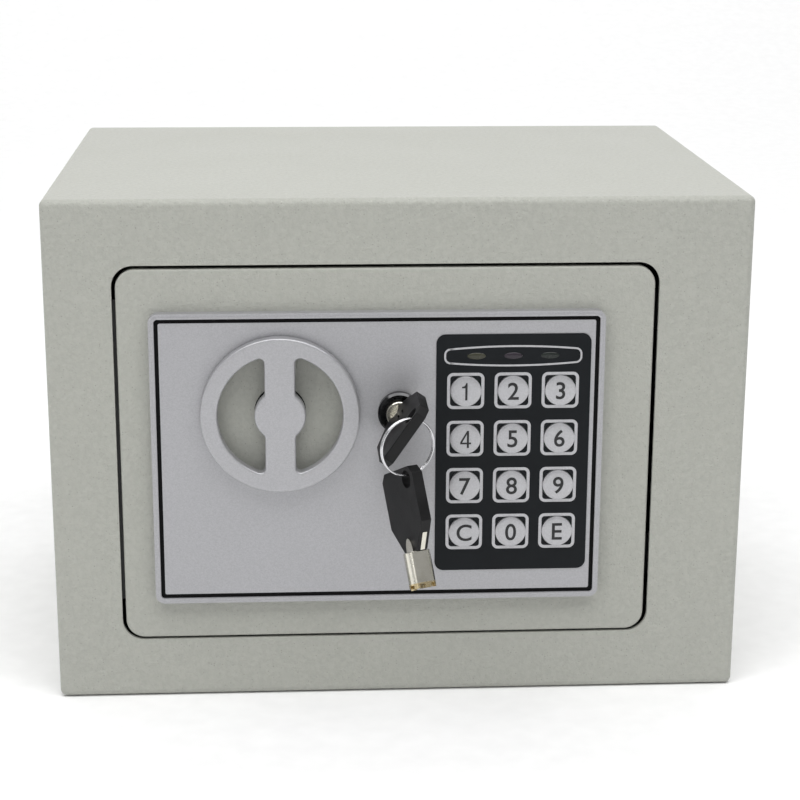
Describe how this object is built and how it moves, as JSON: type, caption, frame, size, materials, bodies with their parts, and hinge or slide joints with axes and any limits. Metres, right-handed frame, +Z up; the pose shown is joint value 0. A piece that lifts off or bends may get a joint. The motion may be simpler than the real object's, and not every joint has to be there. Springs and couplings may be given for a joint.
{
  "type": "electronic keypad safe",
  "caption": "Small steel keypad safe with a hinged door, turning knob, sliding bolts, keypad, tubular emergency lock, key in place and a spare key on a ring.",
  "frame": {"origin": "centre of the underside of the cabinet, on its resting face", "axes": "+X to the right seen from the front, +Y into the safe away from the door, +Z up"},
  "size_m": [0.23, 0.2125, 0.17],
  "materials": {
    "cabinet_paint": "warm grey-green powder coat with a fine orange-peel texture",
    "door_paint": "the cabinet's powder coat",
    "dark_steel": "dark painted steel",
    "pin_steel": "bright zinc-plated steel",
    "mat_felt": "needled felt",
    "silver_fascia": "satin silver paint on moulded plastic",
    "silver_knob": "satin silver paint on moulded plastic",
    "black_inlay": "black paint in a groove",
    "overlay_film": "black printed film with a fine grain",
    "lens_plastic": "dark tinted lens",
    "board_laminate": "green circuit board",
    "ribbon_grey": "grey ribbon cable",
    "bushing_nylon": "black nylon",
    "zinc_plate": "zinc-plated pressed steel",
    "bolt_steel": "turned steel",
    "lock_chrome": "polished chrome",
    "lock_brass": "nickel-plated brass",
    "coil_copper": "enamelled copper winding",
    "spring_steel": "spring wire",
    "cover_plastic": "black moulded plastic with a fine grain",
    "cell_wrap": "printed shrink sleeve and steel ends",
    "key_nickel": "nickel plate, brass at the notched tip",
    "bow_plastic": "black moulded plastic",
    "ring_steel": "nickel-plated spring steel",
    "reset_red": "red moulded plastic",
    "key_silver": "satin silver key with a printed character"
  },
  "bodies": {
    "cabinet": {"cabinet_shell": "cabinet_paint", "back_panel": "cabinet_paint", "door_stop": "dark_steel", "hinge_brackets": "dark_steel", "hinge_pins": "pin_steel", "floor_mat": "mat_felt"},
    "door": {"door_plate": "door_paint", "hinge_arm_bottom": "dark_steel", "hinge_arm_top": "dark_steel", "fascia": "silver_fascia", "fascia_inlay": "black_inlay", "fascia_screws": "pin_steel", "keypad_overlay": "overlay_film", "led_lenses": "lens_plastic", "keypad_board": "board_laminate", "ribbon_cable": "ribbon_grey", "knob_bushing": "bushing_nylon", "bolt_guide": "zinc_plate", "guide_studs": "pin_steel", "lock_barrel": "lock_chrome", "lock_nut": "pin_steel", "solenoid_frame": "zinc_plate", "solenoid_coil": "coil_copper", "plunger_spring": "spring_steel", "inner_cover": "cover_plastic", "cover_screws": "pin_steel", "battery_box": "cover_plastic", "batteries": "cell_wrap", "battery_contacts": "spring_steel", "control_board": "board_laminate", "reset_switch": "bushing_nylon"},
    "knob": {"knob": "silver_knob", "knob_shaft": "bolt_steel", "knob_crank": "zinc_plate", "shaft_clip": "pin_steel"},
    "bolt_carriage": {"bolt_carriage": "zinc_plate", "locking_bolts": "bolt_steel"},
    "lock_plug": {"lock_plug": "lock_brass", "lock_cam": "zinc_plate", "cam_nut": "pin_steel"},
    "solenoid_plunger": {"solenoid_plunger": "bolt_steel"},
    "key": {"key_stem": "key_nickel", "key_bow": "bow_plastic"},
    "key_ring": {"key_ring": "ring_steel"},
    "spare_key": {"spare_key_stem": "key_nickel", "spare_key_bow": "bow_plastic"},
    "battery_lid": {"battery_lid": "cover_plastic"},
    "reset_button": {"reset_button": "reset_red"},
    "key_1": {"key_1": "key_silver"},
    "key_2": {"key_2": "key_silver"},
    "key_3": {"key_3": "key_silver"},
    "key_4": {"key_4": "key_silver"},
    "key_5": {"key_5": "key_silver"},
    "key_6": {"key_6": "key_silver"},
    "key_7": {"key_7": "key_silver"},
    "key_8": {"key_8": "key_silver"},
    "key_9": {"key_9": "key_silver"},
    "key_c": {"key_c": "key_silver"},
    "key_0": {"key_0": "key_silver"},
    "key_e": {"key_e": "key_silver"}
  },
  "joints": [
    {"name": "door_swing", "type": "hinge", "parent": "cabinet", "child": "door", "pos_m": [0.097, -0.079, 0.085], "axis": [0, 0, 1], "range_deg": [0, 100]},
    {"name": "knob_turn", "type": "hinge", "parent": "door", "child": "knob", "pos_m": [-0.0394, -0.085, 0.1], "axis": [0, 1, 0], "range_deg": [-80, 0]},
    {"name": "bolt_slide", "type": "slide", "parent": "door", "child": "bolt_carriage", "axis": [-1, 0, 0], "range_m": [0, 0.01478]},
    {"name": "key_turn", "type": "hinge", "parent": "door", "child": "lock_plug", "pos_m": [-0.0006, -0.085, 0.1], "axis": [0, 1, 0], "range_deg": [-34.5, 55.5]},
    {"name": "plunger_slide", "type": "slide", "parent": "door", "child": "solenoid_plunger", "axis": [0, 0, -1], "range_m": [-0.0021, 0.00338], "deforming": ["plunger_spring"]},
    {"name": "key_pull", "type": "slide", "parent": "lock_plug", "child": "key", "axis": [0, -1, 0], "range_m": [0, 0.03]},
    {"name": "ring_swing", "type": "hinge", "parent": "key", "child": "key_ring", "pos_m": [0.0005, -0.1159, 0.1056], "axis": [0.9135, 0.4067, 0], "range_deg": [-45, 0]},
    {"name": "spare_swing", "type": "hinge", "parent": "key_ring", "child": "spare_key", "pos_m": [0.00167, -0.11538, 0.08729], "axis": [0.9135, 0.4067, 0], "range_deg": [-20, 20]},
    {"name": "battery_lid_lift", "type": "slide", "parent": "door", "child": "battery_lid", "axis": [0, 1, 0], "range_m": [0, 0.03]},
    {"name": "reset_press", "type": "slide", "parent": "door", "child": "reset_button", "axis": [0, -1, 0], "range_m": [0, 0.0015], "stiffness_N_per_m": 200},
    {"name": "key_1_press", "type": "slide", "parent": "door", "child": "key_1", "axis": [0, 1, 0], "range_m": [0, 0.0005], "stiffness_N_per_m": 300},
    {"name": "key_2_press", "type": "slide", "parent": "door", "child": "key_2", "axis": [0, 1, 0], "range_m": [0, 0.0005], "stiffness_N_per_m": 300},
    {"name": "key_3_press", "type": "slide", "parent": "door", "child": "key_3", "axis": [0, 1, 0], "range_m": [0, 0.0005], "stiffness_N_per_m": 300},
    {"name": "key_4_press", "type": "slide", "parent": "door", "child": "key_4", "axis": [0, 1, 0], "range_m": [0, 0.0005], "stiffness_N_per_m": 300},
    {"name": "key_5_press", "type": "slide", "parent": "door", "child": "key_5", "axis": [0, 1, 0], "range_m": [0, 0.0005], "stiffness_N_per_m": 300},
    {"name": "key_6_press", "type": "slide", "parent": "door", "child": "key_6", "axis": [0, 1, 0], "range_m": [0, 0.0005], "stiffness_N_per_m": 300},
    {"name": "key_7_press", "type": "slide", "parent": "door", "child": "key_7", "axis": [0, 1, 0], "range_m": [0, 0.0005], "stiffness_N_per_m": 300},
    {"name": "key_8_press", "type": "slide", "parent": "door", "child": "key_8", "axis": [0, 1, 0], "range_m": [0, 0.0005], "stiffness_N_per_m": 300},
    {"name": "key_9_press", "type": "slide", "parent": "door", "child": "key_9", "axis": [0, 1, 0], "range_m": [0, 0.0005], "stiffness_N_per_m": 300},
    {"name": "key_c_press", "type": "slide", "parent": "door", "child": "key_c", "axis": [0, 1, 0], "range_m": [0, 0.0005], "stiffness_N_per_m": 300},
    {"name": "key_0_press", "type": "slide", "parent": "door", "child": "key_0", "axis": [0, 1, 0], "range_m": [0, 0.0005], "stiffness_N_per_m": 300},
    {"name": "key_e_press", "type": "slide", "parent": "door", "child": "key_e", "axis": [0, 1, 0], "range_m": [0, 0.0005], "stiffness_N_per_m": 300}
  ],
  "couplings": [
    {"joint": "knob_turn", "follows": "bolt_slide", "rad_per_m": -94.443},
    {"joint": "key_turn", "follows": "plunger_slide", "rad_per_m": 285.71}
  ]
}
